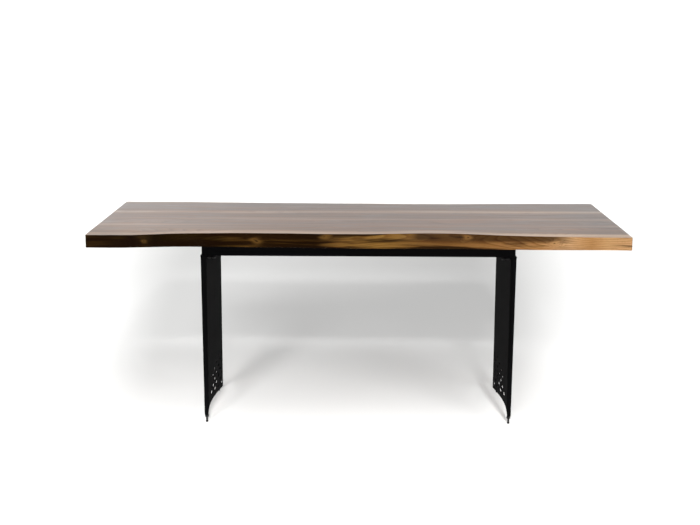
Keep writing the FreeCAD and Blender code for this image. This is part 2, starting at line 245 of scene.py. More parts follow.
def oiled_walnut(name, seed, pith, pale_bands, live_side, edge, painted_sheen):
    material, tree = new_material(name)
    place = add_node(tree, "ShaderNodeTexCoord").outputs["Object"]
    slow = add_node(tree, "ShaderNodeMapping", {
        "Vector": place, "Location": (seed, seed * 3.1, 0.0), "Scale": (1.1, 5.0, 5.0)})
    drift = add_node(tree, "ShaderNodeTexNoise", {
        "Vector": slow, "Scale": 1.0, "Detail": 2.0, "Roughness": 0.45})
    drift = add_node(tree, "ShaderNodeVectorMath", {
        0: drift.outputs["Color"], 1: (0.5, 0.5, 0.5)}, operation="SUBTRACT")
    bent = add_node(tree, "ShaderNodeVectorMath", {
        0: drift, 1: (0.0, 0.10, 0.16), 2: place}, operation="MULTIPLY_ADD")
    bent_axes = add_node(tree, "ShaderNodeSeparateXYZ", {0: bent})
    axes = add_node(tree, "ShaderNodeSeparateXYZ", {0: place})

    if live_side:
        set_back = add_node(tree, "ShaderNodeMapRange", {
            "Value": axes.outputs["X"], "From Min": -board_length / 2,
            "From Max": board_length / 2})
        set_back = add_node(tree, "ShaderNodeValToRGB", {"Fac": set_back},
                            stops=edge["outline"])
        set_back.color_ramp.interpolation = "CARDINAL"
        set_back = add_node(tree, "ShaderNodeRGBToBW", {0: set_back})
        face_line = front_face if live_side < 0 else rear_face
        inward = add_node(tree, "ShaderNodeMath", {
            0: bent_axes.outputs["Y"], 1: face_line}, operation="SUBTRACT")
        inward = add_node(tree, "ShaderNodeMath", {
            0: inward, 1: -live_side}, operation="MULTIPLY")
        inward = add_node(tree, "ShaderNodeMath", {
            0: set_back, 1: -0.1, 2: inward}, operation="MULTIPLY_ADD")
        patch_place = add_node(tree, "ShaderNodeMapping", {
            "Vector": place, "Location": (seed * 2.3, 0.0, seed), "Rotation": (0, 0.03, 0),
            "Scale": (3.6, 12.0, 58.0)})
        patches = add_node(tree, "ShaderNodeTexNoise", {
            "Vector": patch_place, "Scale": 1.0, "Detail": 3.0, "Roughness": 0.45,
            "Distortion": 0.25})
        ragged = add_node(tree, "ShaderNodeVectorMath", {
            0: patches.outputs["Color"], 1: (0.5, 0.5, 0.5)}, operation="SUBTRACT")
        ragged = add_node(tree, "ShaderNodeVectorMath", {
            0: ragged, 1: (0.06, 0.0, 0.022), 2: place}, operation="MULTIPLY_ADD")
        squashed = add_node(tree, "ShaderNodeVectorMath", {
            0: ragged, 1: (0.6, 0.0, 1.0)}, operation="MULTIPLY")
        nearest = None
        for knot_x, knot_z, size, _ in edge["knots"]:
            away = add_node(tree, "ShaderNodeVectorMath", {
                0: squashed, 1: (knot_x * 0.6, 0.0, knot_z)}, operation="DISTANCE")
            away = add_node(tree, "ShaderNodeMath", {0: away, 1: size}, operation="DIVIDE")
            nearest = away if nearest is None else add_node(tree, "ShaderNodeMath", {
                0: nearest, 1: away, 2: 0.3}, operation="SMOOTH_MIN")
        round_knot = add_node(tree, "ShaderNodeMapRange", {
            "Value": nearest, "From Min": 0.0, "From Max": 3.0,
            "To Min": 0.026, "To Max": 0.0}, interpolation_type="SMOOTHERSTEP")
        knot_depth = add_node(tree, "ShaderNodeMapRange", {
            "Value": inward, "From Min": 0.012, "From Max": 0.050,
            "To Min": 1.0, "To Max": 0.0}, interpolation_type="SMOOTHSTEP")
        round_knot = add_node(tree, "ShaderNodeMath", {
            0: round_knot, 1: knot_depth}, operation="MULTIPLY")
        lift = add_node(tree, "ShaderNodeCombineXYZ", {"Z": round_knot})
        bent = add_node(tree, "ShaderNodeVectorMath", {0: bent, 1: lift}, operation="ADD")

    centred = add_node(tree, "ShaderNodeMapping", {
        "Vector": bent, "Location": (seed, -pith[0], -pith[1]), "Scale": (0.05, 1.0, 1.0)})
    rings = add_node(tree, "ShaderNodeTexWave", {
        "Vector": centred, "Scale": ring_scale, "Distortion": 1.6, "Detail": 2.0,
        "Detail Scale": 0.6}, wave_type="RINGS", rings_direction="X", wave_profile="SAW")
    rings = rings.outputs["Fac"]
    years = add_node(tree, "ShaderNodeTexWave", {
        "Vector": centred, "Scale": ring_scale / 5.3, "Distortion": 3.0, "Detail": 1.0,
        "Detail Scale": 0.5}, wave_type="RINGS", rings_direction="X", wave_profile="SIN")
    years = years.outputs["Fac"]
    streak_place = add_node(tree, "ShaderNodeMapping", {
        "Vector": bent, "Location": (seed * 7.0, seed, 0.0), "Scale": (1.6, 95.0, 95.0)})
    streaks = add_node(tree, "ShaderNodeTexNoise", {
        "Vector": streak_place, "Scale": 1.0, "Detail": 4.0, "Roughness": 0.6})
    fibre_place = add_node(tree, "ShaderNodeMapping", {
        "Vector": place, "Location": (0.0, seed, 0.0), "Scale": (24.0, 900.0, 900.0)})
    fibres = add_node(tree, "ShaderNodeTexNoise", {
        "Vector": fibre_place, "Scale": 1.0, "Detail": 2.0, "Roughness": 0.7})
    pores = add_node(tree, "ShaderNodeMapRange", {
        "Value": fibres, "From Min": 0.60, "From Max": 0.68})

    heart = add_node(tree, "ShaderNodeValToRGB", {"Fac": streaks}, stops=(
        (0.28, "#38251a"), (0.46, "#553a28"), (0.60, "#6b4b35"), (0.78, "#866349")))
    ring_tone = add_node(tree, "ShaderNodeValToRGB", {"Fac": rings}, stops=(
        (0.0, "#ffffff"), (0.62, "#efe4da"), (0.90, "#a88d7a"), (1.0, "#e8dcd0")))
    heart = add_node(tree, "ShaderNodeMix", {0: 0.60, 6: heart, 7: ring_tone},
                     data_type="RGBA", blend_type="MULTIPLY")
    year_tone = add_node(tree, "ShaderNodeMapRange", {
        "Value": years, "From Min": 0.1, "From Max": 0.9, "To Min": 0.0, "To Max": 0.34})
    heart = add_node(tree, "ShaderNodeMix", {0: year_tone, 6: heart, 7: linear("#2b1b12")},
                     data_type="RGBA")

    # Pale sapwood runs in bands along the boards and behind the live edge. The wood is also
    # painted a little paler towards the left end, most on the front boards: a painted sheen in
    # the sapwood colour, for the brighter reflection on the left and front of the top.
    width_share = add_node(tree, "ShaderNodeMapRange", {
        "Value": bent_axes.outputs["Y"], "From Min": front_face, "From Max": rear_face})
    pale = add_node(tree, "ShaderNodeValToRGB", {"Fac": width_share}, stops=pale_bands)
    if live_side:
        sap = add_node(tree, "ShaderNodeMapRange", {
            "Value": inward, "From Min": edge["sap"][0], "From Max": edge["sap"][1],
            "To Min": 1.0, "To Max": 0.0}, interpolation_type="SMOOTHSTEP")
        pale = add_node(tree, "ShaderNodeMath", {0: pale, 1: sap}, operation="MAXIMUM")
    # Painted sheen: the wood is painted paler towards the left end, for the brighter reflection
    # there.
    painted_paleness = add_node(tree, "ShaderNodeMapRange", {
        "Value": axes.outputs["X"], "From Min": -board_length / 2, "From Max": -0.2,
        "To Min": painted_sheen[0], "To Max": painted_sheen[1]}, interpolation_type="SMOOTHSTEP")
    pale = add_node(tree, "ShaderNodeMath", {0: pale, 1: painted_paleness}, operation="MAXIMUM")
    patchy = add_node(tree, "ShaderNodeMapRange", {
        "Value": add_node(tree, "ShaderNodeSeparateXYZ", {0: drift}).outputs["X"],
        "From Min": -0.15, "From Max": 0.15, "To Min": 0.25, "To Max": 0.85})
    pale = add_node(tree, "ShaderNodeMath", {0: pale, 1: patchy}, operation="MULTIPLY")
    sapwood_and_sheen = add_node(tree, "ShaderNodeMix", {0: 0.5, 6: linear("#bfa48a"), 7: ring_tone},
                       data_type="RGBA", blend_type="MULTIPLY")
    wood = add_node(tree, "ShaderNodeMix", {0: pale, 6: heart, 7: sapwood_and_sheen},
                    data_type="RGBA")

    facing = add_node(tree, "ShaderNodeNewGeometry").outputs["Normal"]
    facing = add_node(tree, "ShaderNodeSeparateXYZ", {0: facing})
    relief = streaks
    if live_side:
        along = add_node(tree, "ShaderNodeMapRange", {
            "Value": bent_axes.outputs["X"], "From Min": -board_length / 2,
            "From Max": board_length / 2})
        # tone is the grown wood's colour; on the front edge it also holds painted light from
        # the right, darker to the left end and paler to the right end.
        tone = add_node(tree, "ShaderNodeValToRGB", {"Fac": along}, stops=edge["tone"])
        under = add_node(tree, "ShaderNodeValToRGB", {"Fac": along}, stops=edge["shade"])
        band_height = add_node(tree, "ShaderNodeMath", {
            0: patches, 1: 0.016, 2: axes.outputs["Z"]}, operation="MULTIPLY_ADD")
        band = add_node(tree, "ShaderNodeMapRange", {
            "Value": band_height, "From Min": 0.740, "From Max": 0.754},
            interpolation_type="SMOOTHSTEP")
        band = add_node(tree, "ShaderNodeMath", {0: band, 1: under}, operation="MULTIPLY")
        stain = add_node(tree, "ShaderNodeValToRGB", {"Fac": along}, stops=edge["stain"])
        stained = add_node(tree, "ShaderNodeMath", {
            0: stain, 1: -0.26, 2: patches}, operation="MULTIPLY_ADD")
        blotch = add_node(tree, "ShaderNodeMapRange", {
            "Value": stained, "From Min": 0.27, "From Max": 0.43,
            "To Min": 0.90, "To Max": 0.0}, interpolation_type="SMOOTHSTEP")
        core = add_node(tree, "ShaderNodeMapRange", {
            "Value": nearest, "From Min": 0.12, "From Max": 0.45,
            "To Min": 0.85, "To Max": 0.0})
        halo = add_node(tree, "ShaderNodeMapRange", {
            "Value": nearest, "From Min": 0.3, "From Max": 2.2,
            "To Min": 0.1, "To Max": 1.0}, interpolation_type="SMOOTHSTEP")
        dark = add_node(tree, "ShaderNodeMath", {0: blotch, 1: band}, operation="MAXIMUM")
        dark = add_node(tree, "ShaderNodeMath", {0: dark, 1: halo}, operation="MULTIPLY")
        dark = add_node(tree, "ShaderNodeMath", {0: dark, 1: core}, operation="MAXIMUM")
        grown = add_node(tree, "ShaderNodeMix", {0: 0.62, 6: tone, 7: ring_tone},
                         data_type="RGBA", blend_type="MULTIPLY")
        knot_wood = add_node(tree, "ShaderNodeMapRange", {
            "Value": nearest, "From Min": 0.3, "From Max": 1.8,
            "To Min": 0.5, "To Max": 0.0}, interpolation_type="SMOOTHSTEP")
        knot_tone = add_node(tree, "ShaderNodeMix", {
            0: 0.5, 6: tone, 7: linear("#6e5028")}, data_type="RGBA")
        grown = add_node(tree, "ShaderNodeMix", {
            0: knot_wood, 6: grown, 7: knot_tone}, data_type="RGBA")
        grown = add_node(tree, "ShaderNodeMix", {0: dark, 6: grown, 7: linear("#100602")},
                         data_type="RGBA")
        outward = add_node(tree, "ShaderNodeMath", {
            0: facing.outputs["Y"], 1: live_side}, operation="MULTIPLY")
        outward = add_node(tree, "ShaderNodeMapRange", {
            "Value": outward, "From Min": 0.20, "From Max": 0.46},
            interpolation_type="SMOOTHSTEP")
        wood = add_node(tree, "ShaderNodeMix", {0: outward, 6: wood, 7: grown},
                        data_type="RGBA")
        relief = add_node(tree, "ShaderNodeMath", {
            0: patches, 1: 1.5, 2: streaks}, operation="MULTIPLY_ADD")

    end_face = add_node(tree, "ShaderNodeMath", {0: facing.outputs["X"]},
                        operation="ABSOLUTE")
    end_face = add_node(tree, "ShaderNodeMapRange", {
        "Value": end_face, "From Min": 0.6, "From Max": 0.8, "To Max": 0.5})
    wood = add_node(tree, "ShaderNodeMix", {0: end_face, 6: wood, 7: linear("#2d1c11")},
                    data_type="RGBA")
    pore_shade = add_node(tree, "ShaderNodeMath", {0: pores, 1: 0.5}, operation="MULTIPLY")
    wood = add_node(tree, "ShaderNodeMix", {0: pore_shade, 6: wood, 7: linear("#1c110b")},
                    data_type="RGBA")

    relief = add_node(tree, "ShaderNodeMath", {
        0: pores, 1: -0.8, 2: relief}, operation="MULTIPLY_ADD")
    relief = add_node(tree, "ShaderNodeMath", {
        0: rings, 1: 0.3, 2: relief}, operation="MULTIPLY_ADD")
    bump = add_node(tree, "ShaderNodeBump", {
        "Strength": 0.22, "Distance": 0.0004, "Height": relief})
    satin = add_node(tree, "ShaderNodeMapRange", {
        "Value": streaks, "From Min": 0.3, "From Max": 0.7, "To Min": 0.32, "To Max": 0.46})
    gloss = 0.45
    if live_side:
        satin = add_node(tree, "ShaderNodeMath", {
            0: outward, 1: -0.10, 2: satin}, operation="MULTIPLY_ADD")
        gloss = add_node(tree, "ShaderNodeMapRange", {
            "Value": outward, "To Min": 0.45, "To Max": 0.02})
    shader = add_node(tree, "ShaderNodeBsdfPrincipled", {
        "Base Color": wood, "Roughness": satin, "Normal": bump, "IOR": 1.47,
        "Specular IOR Level": gloss})
    add_node(tree, "ShaderNodeOutputMaterial", {"Surface": shader})
    return material


# Ramps along the live edges, from the left end to the right end. outline is how far the
# sawn line lies back, where white is 0.1 m. tone is the bare grown wood; on the front edge
# it also holds painted light from the right, darker towards the left end and paler towards
# the right end. stain is how much of it dark stains cover, and shade how much shows of a
# dark band below the upper arris.
# sap is where the pale sapwood ends, in from the edge.
front_edge = {
    "knots": front_knots,
    "sap": (0.030, 0.095),
    "outline": ((0.0, "#000000"), (0.09, "#303030"), (0.15, "#9e9e9e"), (0.21, "#bcbcbc"),
                (0.32, "#cccccc"), (0.43, "#bcbcbc"), (0.54, "#c5c5c5"), (0.65, "#e4e4e4"),
                (0.76, "#aaaaaa"), (0.83, "#797979"), (0.92, "#404040"), (1.0, "#000000")),
    # Front edge tone: the grown wood's colour plus painted light from the right, darker towards
    # the left end and paler towards the right end.
    "tone": ((0.0, "#2a1c09"), (0.065, "#201504"), (0.085, "#060301"), (0.10, "#241807"),
             (0.125, "#0f0802"), (0.24, "#241907"), (0.30, "#4a3415"), (0.36, "#3f2b10"),
             (0.42, "#33220c"), (0.47, "#6a4d25"), (0.55, "#735528"), (0.62, "#6a4b26"),
             (0.74, "#75532e"), (0.83, "#8a653d"), (0.885, "#a07f5b"), (0.925, "#8f6b43"),
             (0.955, "#9f7d56"), (1.0, "#947350")),
    "stain": ((0.0, "#dcdcdc"), (0.065, "#e0e0e0"), (0.085, "#ffffff"), (0.105, "#d8d8d8"),
              (0.13, "#ffffff"), (0.20, "#f4f4f4"), (0.30, "#d4d4d4"), (0.42, "#e8e8e8"),
              (0.47, "#c8c8c8"), (0.62, "#c4c4c4"), (0.80, "#b4b4b4"), (0.86, "#404040"),
              (1.0, "#000000")),
    "shade": ((0.0, "#101010"), (0.10, "#202020"), (0.26, "#404040"), (0.29, "#f0f0f0"),
              (0.425, "#f0f0f0"), (0.437, "#202020"), (0.45, "#d0d0d0"),
              (0.49, "#202020"), (0.59, "#202020"), (0.61, "#e0e0e0"),
              (0.66, "#d4d4d4"), (0.72, "#e0e0e0"), (0.86, "#e8e8e8"), (0.90, "#101010")),
}
rear_edge = {
    "knots": rear_knots,
    "sap": (0.008, 0.030),
    "outline": ((0.0, "#000000"), (0.16, "#282828"), (0.28, "#686868"), (0.40, "#757575"),
                (0.52, "#818181"), (0.65, "#898989"), (0.76, "#6c6c6c"), (0.88, "#383838"),
                (1.0, "#000000")),
    "tone": ((0.0, "#6b4a29"), (0.2, "#8b6336"), (0.4, "#553817"), (0.6, "#7d5730"),
             (0.8, "#a0743f"), (1.0, "#6b4a29")),
    "stain": ((0.0, "#c8c8c8"), (0.35, "#e0e0e0"), (0.7, "#b4b4b4"), (1.0, "#c8c8c8")),
    "shade": ((0.0, "#101010"), (0.15, "#e0e0e0"), (0.3, "#202020"), (0.5, "#d0d0d0"),
              (0.7, "#101010"), (0.9, "#e0e0e0"), (1.0, "#202020")),
}

# From front to rear. seed shifts a board's figure, pith is the middle of its rings (Y, Z),
# pale_bands are stripes of pale wood over the width of the table, and the painted sheen is
# how pale the wood is painted at the left end and from near the middle on, for the
# brighter reflection on the left and front of the top.
board_plan = (
    {"name": "front_live_edge_board", "cad_node": "board_front_live_edge",
     "front": front_face, "rear": joint_lines[0], "live_side": -1, "edge": front_edge,
     "seed": 1.7, "pith": (-0.30, 0.60), "painted_sheen": (0.30, 0.12),
     "pale_bands": ((0.0, "#000000"), (0.275, "#000000"), (0.300, "#d8d8d8"),
                    (0.31, "#d8d8d8"))},
    {"name": "front_middle_board", "cad_node": "board_front_middle",
     "front": joint_lines[0], "rear": joint_lines[1], "live_side": 0, "edge": {"knots": ()},
     "seed": 4.3, "pith": (-0.05, 0.58), "painted_sheen": (0.14, 0.05),
     "pale_bands": ((0.30, "#b8b8b8"), (0.33, "#000000"), (0.430, "#000000"),
                    (0.475, "#a0a0a0"), (0.48, "#a0a0a0"))},
    {"name": "rear_middle_board", "cad_node": "board_rear_middle",
     "front": joint_lines[1], "rear": joint_lines[2], "live_side": 0, "edge": {"knots": ()},
     "seed": 8.9, "pith": (0.16, 0.55), "painted_sheen": (0.10, 0.03),
     "pale_bands": ((0.48, "#b8b8b8"), (0.52, "#000000"), (0.62, "#000000"),
                    (0.685, "#d8d8d8"), (0.70, "#d8d8d8"))},
    {"name": "rear_live_edge_board", "cad_node": "board_rear_live_edge",
     "front": joint_lines[2], "rear": rear_face, "live_side": 1, "edge": rear_edge,
     "seed": 13.4, "pith": (0.33, 0.58), "painted_sheen": (0.08, 0.03),
     "pale_bands": ((0.695, "#d8d8d8"), (0.76, "#000000"), (1.0, "#000000"))},
)
for plan in board_plan:
    board = planed_board(plan["name"], plan["front"], plan["rear"], plan["live_side"],
                         plan["edge"]["knots"], plan["seed"], plan["cad_node"])
    board.data.materials.append(oiled_walnut(
        "oiled_walnut_" + plan["name"], plan["seed"], plan["pith"], plan["pale_bands"],
        plan["live_side"], plan["edge"], plan["painted_sheen"]))


# Steel base: two rails, three cross flats, two head plates and two folded sheets, cut,
# bent, welded and coated in one go. The black powder coat gives a dull even black, a
# little dusty in places. Its grain of 1 mm is coarser than the real one, so that it shows.
def coated_steel(name, code, dusty, roughness, gloss, grain_scale):
    material, tree = new_material(name)
    place = add_node(tree, "ShaderNodeTexCoord").outputs["Object"]
    grain = add_node(tree, "ShaderNodeTexNoise", {
        "Vector": place, "Scale": grain_scale, "Detail": 2.0, "Roughness": 0.6})
    cloud = add_node(tree, "ShaderNodeTexNoise", {
        "Vector": place, "Scale": 7.0, "Detail": 3.0})
    dust = add_node(tree, "ShaderNodeMapRange", {
        "Value": cloud, "From Min": 0.40, "From Max": 0.75, "To Max": 0.35})
    colour = add_node(tree, "ShaderNodeMix", {0: dust, 6: linear(code), 7: linear(dusty)},
                      data_type="RGBA")
    bump = add_node(tree, "ShaderNodeBump", {
        "Strength": 0.30, "Distance": 0.0002, "Height": grain})
    sheen = add_node(tree, "ShaderNodeMapRange", {
        "Value": cloud, "To Min": roughness - 0.05, "To Max": roughness + 0.06})
    shader = add_node(tree, "ShaderNodeBsdfPrincipled", {
        "Base Color": colour, "Roughness": sheen, "Normal": bump, "IOR": 1.5,
        "Specular IOR Level": gloss})
    add_node(tree, "ShaderNodeOutputMaterial", {"Surface": shader})
    return material


# The coat rounds every cut edge of the steel by a few tenths of a millimetre. A part is a
# merged copy of its CAD node, so bends, holes and cut pattern stay where they are.
coat_round = 0.0003


def coated_part(cad_node):
    bpy.ops.object.select_all(action="DESELECT")
    piece = bpy.data.objects.new("coated_" + cad_node, nodes[cad_node].data.copy())
    bpy.context.scene.collection.objects.link(piece)
    bpy.context.view_layer.objects.active = piece
    piece.select_set(True)
    bpy.ops.object.mode_set(mode="EDIT")
    bpy.ops.mesh.select_all(action="SELECT")
    bpy.ops.mesh.remove_doubles(threshold=0.00001)
    bpy.ops.mesh.dissolve_limited(angle_limit=math.radians(0.3))
    leave_edit_mode()
    soft = piece.modifiers.new("coat_round", "BEVEL")
    soft.width = coat_round
    soft.segments = 2
    soft.limit_method = "ANGLE"
    soft.angle_limit = math.radians(50)
    soft.use_clamp_overlap = True
    bpy.ops.object.modifier_apply(modifier=soft.name)
    bpy.ops.object.shade_smooth_by_angle(angle=math.radians(40))
    flat = piece.modifiers.new("flat_faces", "WEIGHTED_NORMAL")
    flat.keep_sharp = True
    flat.weight = 100
    bpy.ops.object.modifier_apply(modifier=flat.name)
    piece.data.materials.clear()
    piece.data.materials.append(black_powder)
    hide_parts(cad_node)
    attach(piece, "table")


black_powder = coated_steel("black_powder_coat", "#040405", "#0a0909", 0.80, 0.05, 900.0)
for cad_node in ("rail_front", "rail_rear", "cross_flat_left", "cross_flat_middle",
                 "cross_flat_right", "leg_head_plate_left", "leg_head_plate_right",
                 "leg_sheet_left", "leg_sheet_right", "foot_bushes"):
    coated_part(cad_node)


# Weld beads where the sheets meet the head plates and the flats meet the rails: short
# overlapping ripples of a hand-held torch, under the same coat.
sheet_bead = {"radius": 0.0020, "ripple": 0.0024}
flat_bead = {"radius": 0.0022, "ripple": 0.0026}
ripple_height = 0.16
unevenness = 0.12
sheet_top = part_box("leg_sheet_right")[1][2]
flat_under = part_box("cross_flat_left")[0][2]
rail_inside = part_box("rail_rear")[0][1]
sheet_bead_level = sheet_top - 0.0006
flat_bead_level = flat_under - 0.0004
fold_end = (0.5392, 0.012)
flange_end = (0.5672, 0.176)
end_flat_edges = (0.5040, 0.5560)
middle_flat_edges = (-0.0260, 0.0260)


def weld_bead(name, start, end, radius, ripple):
    run = Vector(end) - Vector(start)
    bpy.ops.object.select_all(action="DESELECT")
    bpy.ops.mesh.primitive_cylinder_add(
        vertices=10, radius=radius, depth=run.length, end_fill_type="TRIFAN")
    bead = bpy.context.object
    bead.name = name
    rings = max(8, round(run.length / ripple * 3))
    divide_edges(bead, lambda a, b: abs(a.z - b.z) > run.length * 0.9, rings)
    for corner in bead.data.vertices:
        along = corner.co.z / ripple
        ends = min(1.0, (run.length / 2 - abs(corner.co.z)) / (radius * 1.5) + 0.35)
        uneven = noise.noise(Vector((along * 0.4, start[0] * 9, start[1] * 9)))
        swell = (1.0 + ripple_height * math.sin(2 * math.pi * along) + unevenness * uneven)
        corner.co.x *= swell * ends
        corner.co.y *= swell * ends
    bead.rotation_euler = run.to_track_quat("Z", "X").to_euler()
    bead.location = (Vector(start) + Vector(end)) / 2
    bpy.ops.object.transform_apply(location=True, rotation=True, scale=True)
    bpy.ops.object.shade_smooth()
    bead.data.materials.append(black_powder)
    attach(bead, "table")


for side, side_name in ((-1, "left"), (1, "right")):
    for half, half_name in ((-1, "front"), (1, "rear")):
        start, end = [(side * x, half * y, sheet_bead_level) for x, y in (fold_end, flange_end)]
        weld_bead("weld_" + half_name + "_" + side_name + "_sheet", start, end, **sheet_bead)
        start, end = [(side * x, half * rail_inside, flat_bead_level) for x in end_flat_edges]
        weld_bead("weld_" + half_name + "_" + side_name + "_flat", start, end, **flat_bead)
for half, half_name in ((-1, "front"), (1, "rear")):
    start, end = [(x, half * rail_inside, flat_bead_level) for x in middle_flat_edges]
    weld_bead("weld_" + half_name + "_middle_flat", start, end, **flat_bead)


# Levelling feet: M8 rod with rolled threads and a hexagon lock nut below each bush, both
# blackened, which gives a dark low shine, and a moulded nylon tip, of a duller black, that
# turns on a spigot.
black_oxide = coated_steel("black_oxide_steel", "#0a0a0b", "#141313", 0.42, 0.25, 1500.0)
black_nylon = coated_steel("black_nylon", "#070707", "#0e0e0e", 0.55, 0.20, 700.0)
thread_pitch = 0.00125
thread_run_out = 0.0014
thread_clearance = 0.00004
rod_end_round = 0.0008
spigot_radius = 0.0023
spigot_overlap = 0.001
socket_radius = 0.00255
socket_clearance = 0.00005
socket_depth = 0.008
tip_floor_round = 0.0016
tip_rim_round = 0.0006
nut_flats = 0.013
nut_bore = 0.00405
chamfer_share = 0.475


def upright_cylinder(x, y, bottom, top, radius, sides):
    bpy.ops.object.select_all(action="DESELECT")
    bpy.ops.mesh.primitive_cylinder_add(
        vertices=sides, radius=radius, depth=top - bottom,
        location=(x, y, (bottom + top) / 2))
    cylinder = bpy.context.object
    bpy.ops.object.transform_apply(location=True, rotation=True, scale=True)
    return cylinder


def threaded_rod(x, y, bottom, top, radius):
    bpy.ops.object.select_all(action="DESELECT")
    bpy.ops.mesh.primitive_circle_add(
        vertices=4, radius=thread_pitch * 0.60, fill_type="NOTHING",
        location=(x + radius - thread_pitch * 0.62, y, bottom + thread_run_out),
        rotation=(math.pi / 2, 0, 0))
    helix = bpy.context.object
    bpy.ops.object.transform_apply(location=True, rotation=True, scale=True)
    bpy.context.scene.cursor.location = (x, y, 0)
    bpy.ops.object.origin_set(type="ORIGIN_CURSOR")
    bpy.ops.object.modifier_add(type="SCREW")
    wind = helix.modifiers[0]
    wind.screw_offset = thread_pitch
    wind.iterations = int((top - bottom - 2 * thread_run_out) / thread_pitch) - 1
    wind.steps = wind.render_steps = 16
    wind.use_merge_vertices = False
    bpy.ops.object.modifier_apply(modifier=wind.name)
    bpy.ops.object.mode_set(mode="EDIT")
    bpy.ops.mesh.select_all(action="DESELECT")
    bpy.ops.mesh.select_non_manifold()
    bpy.ops.mesh.edge_face_add()
    leave_edit_mode()

    rod = upright_cylinder(x, y, bottom, top, radius - thread_pitch * 0.55, 24)
    round_edges(rod, lambda a, b: at(a.z, b.z), rod_end_round, 3)
    return rod, helix


def join_pieces(first, others):
    bpy.ops.object.select_all(action="DESELECT")
    for piece in others:
        piece.select_set(True)
    first.select_set(True)
    bpy.context.view_layer.objects.active = first
    bpy.ops.object.join()
    bpy.ops.object.transform_apply(location=True, rotation=True, scale=True)
    bpy.ops.object.mode_set(mode="EDIT")
    bpy.ops.mesh.select_mode(type="EDGE")
    bpy.ops.mesh.select_all(action="SELECT")
    bpy.ops.mesh.remove_doubles(threshold=0.000005)
    bpy.ops.mesh.normals_make_consistent(inside=False)
    leave_edit_mode()
    bpy.ops.object.shade_smooth_by_angle(angle=math.radians(32))
    return first


def finish_piece(piece, name, material):
    piece.name = name
    piece.data.materials.clear()
    piece.data.materials.append(material)
    return piece


def cut_with(piece, tool, operation):
    bpy.ops.object.select_all(action="DESELECT")
    bpy.context.view_layer.objects.active = piece
    piece.select_set(True)
    cut = piece.modifiers.new("cut", "BOOLEAN")
    cut.object = tool
    cut.operation = operation
    cut.solver = "EXACT"
    bpy.ops.object.modifier_apply(modifier=cut.name)
    bpy.data.objects.remove(tool, do_unlink=True)


def drill(piece, x, y, bottom, top, radius, sides):
    past = 0.005
    cut_with(piece, upright_cylinder(x, y, bottom - past, top + past, radius, sides),
             "DIFFERENCE")


# The corners are turned off by a cone of 30 degrees, from a circle on the end face that
# is a little narrower than the flats.
def hexagon_piece(x, y, bottom, top, flats, hole, chamfer_bottom, chamfer_top):
    bpy.ops.object.select_all(action="DESELECT")
    corner_radius = flats / 2 / math.cos(math.pi / 6)
    bpy.ops.mesh.primitive_cylinder_add(
        vertices=6, radius=corner_radius, depth=top - bottom,
        location=(x, y, (bottom + top) / 2), rotation=(0, 0, math.pi / 6))
    piece = bpy.context.object
    bpy.ops.object.transform_apply(location=True, rotation=True, scale=True)
    cone_height = top - bottom + 0.002
    narrow = flats * chamfer_share
    wide = narrow + cone_height / math.tan(math.radians(30))
    if chamfer_bottom:
        bpy.ops.mesh.primitive_cone_add(
            vertices=48, radius1=narrow, radius2=wide, depth=cone_height,
            location=(x, y, bottom + cone_height / 2))
        cut_with(piece, bpy.context.object, "INTERSECT")
    if chamfer_top:
        bpy.ops.mesh.primitive_cone_add(
            vertices=48, radius1=wide, radius2=narrow, depth=cone_height,
            location=(x, y, top - cone_height / 2))
        cut_with(piece, bpy.context.object, "INTERSECT")
    if hole:
        drill(piece, x, y, bottom, top, hole, 32)
    return piece


nut_low, nut_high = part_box("foot_lock_nuts")
nuts = []
for half in ("front", "rear"):
    for side in ("left", "right"):
        place = half + "_" + side
        low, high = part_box("foot_stem_" + place)
        tip_low, tip_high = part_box("foot_tip_" + place)
        x = (low[0] + high[0]) / 2
        y = (low[1] + high[1]) / 2
        rod, helix = threaded_rod(x, y, tip_high[2], high[2],
                                  (high[0] - low[0]) / 2 - thread_clearance)
        spigot = upright_cylinder(x, y, low[2], tip_high[2] + spigot_overlap,
                                  spigot_radius, 20)
        rod = finish_piece(join_pieces(rod, [helix, spigot]), "levelling_rod_" + place,
                           black_oxide)
        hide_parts("foot_stem_" + place)
        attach(rod, "stem_" + place)

        tip = upright_cylinder(x, y, 0.0, tip_high[2], (tip_high[0] - tip_low[0]) / 2, 40)
        round_edges(tip, lambda a, b: at(a.z, 0.0) and at(b.z, 0.0), tip_floor_round, 5)
        round_edges(tip, lambda a, b: at(a.z, tip_high[2]) and at(b.z, tip_high[2]),
                    tip_rim_round, 2)
        socket_floor = low[2] - socket_clearance
        cut_with(tip, upright_cylinder(x, y, socket_floor, socket_floor + socket_depth,
                                       socket_radius, 32), "DIFFERENCE")
        tip = finish_piece(join_pieces(tip, []), "nylon_tip_" + place, black_nylon)
        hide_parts("foot_tip_" + place)
        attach(tip, "tip_" + place)

        nuts.append(hexagon_piece(x, y, nut_low[2], nut_high[2], nut_flats, nut_bore,
                                  True, True))
lock_nuts = finish_piece(join_pieces(nuts[0], nuts[1:]), "hexagon_lock_nuts", black_oxide)
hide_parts("foot_lock_nuts")
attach(lock_nuts, "table")


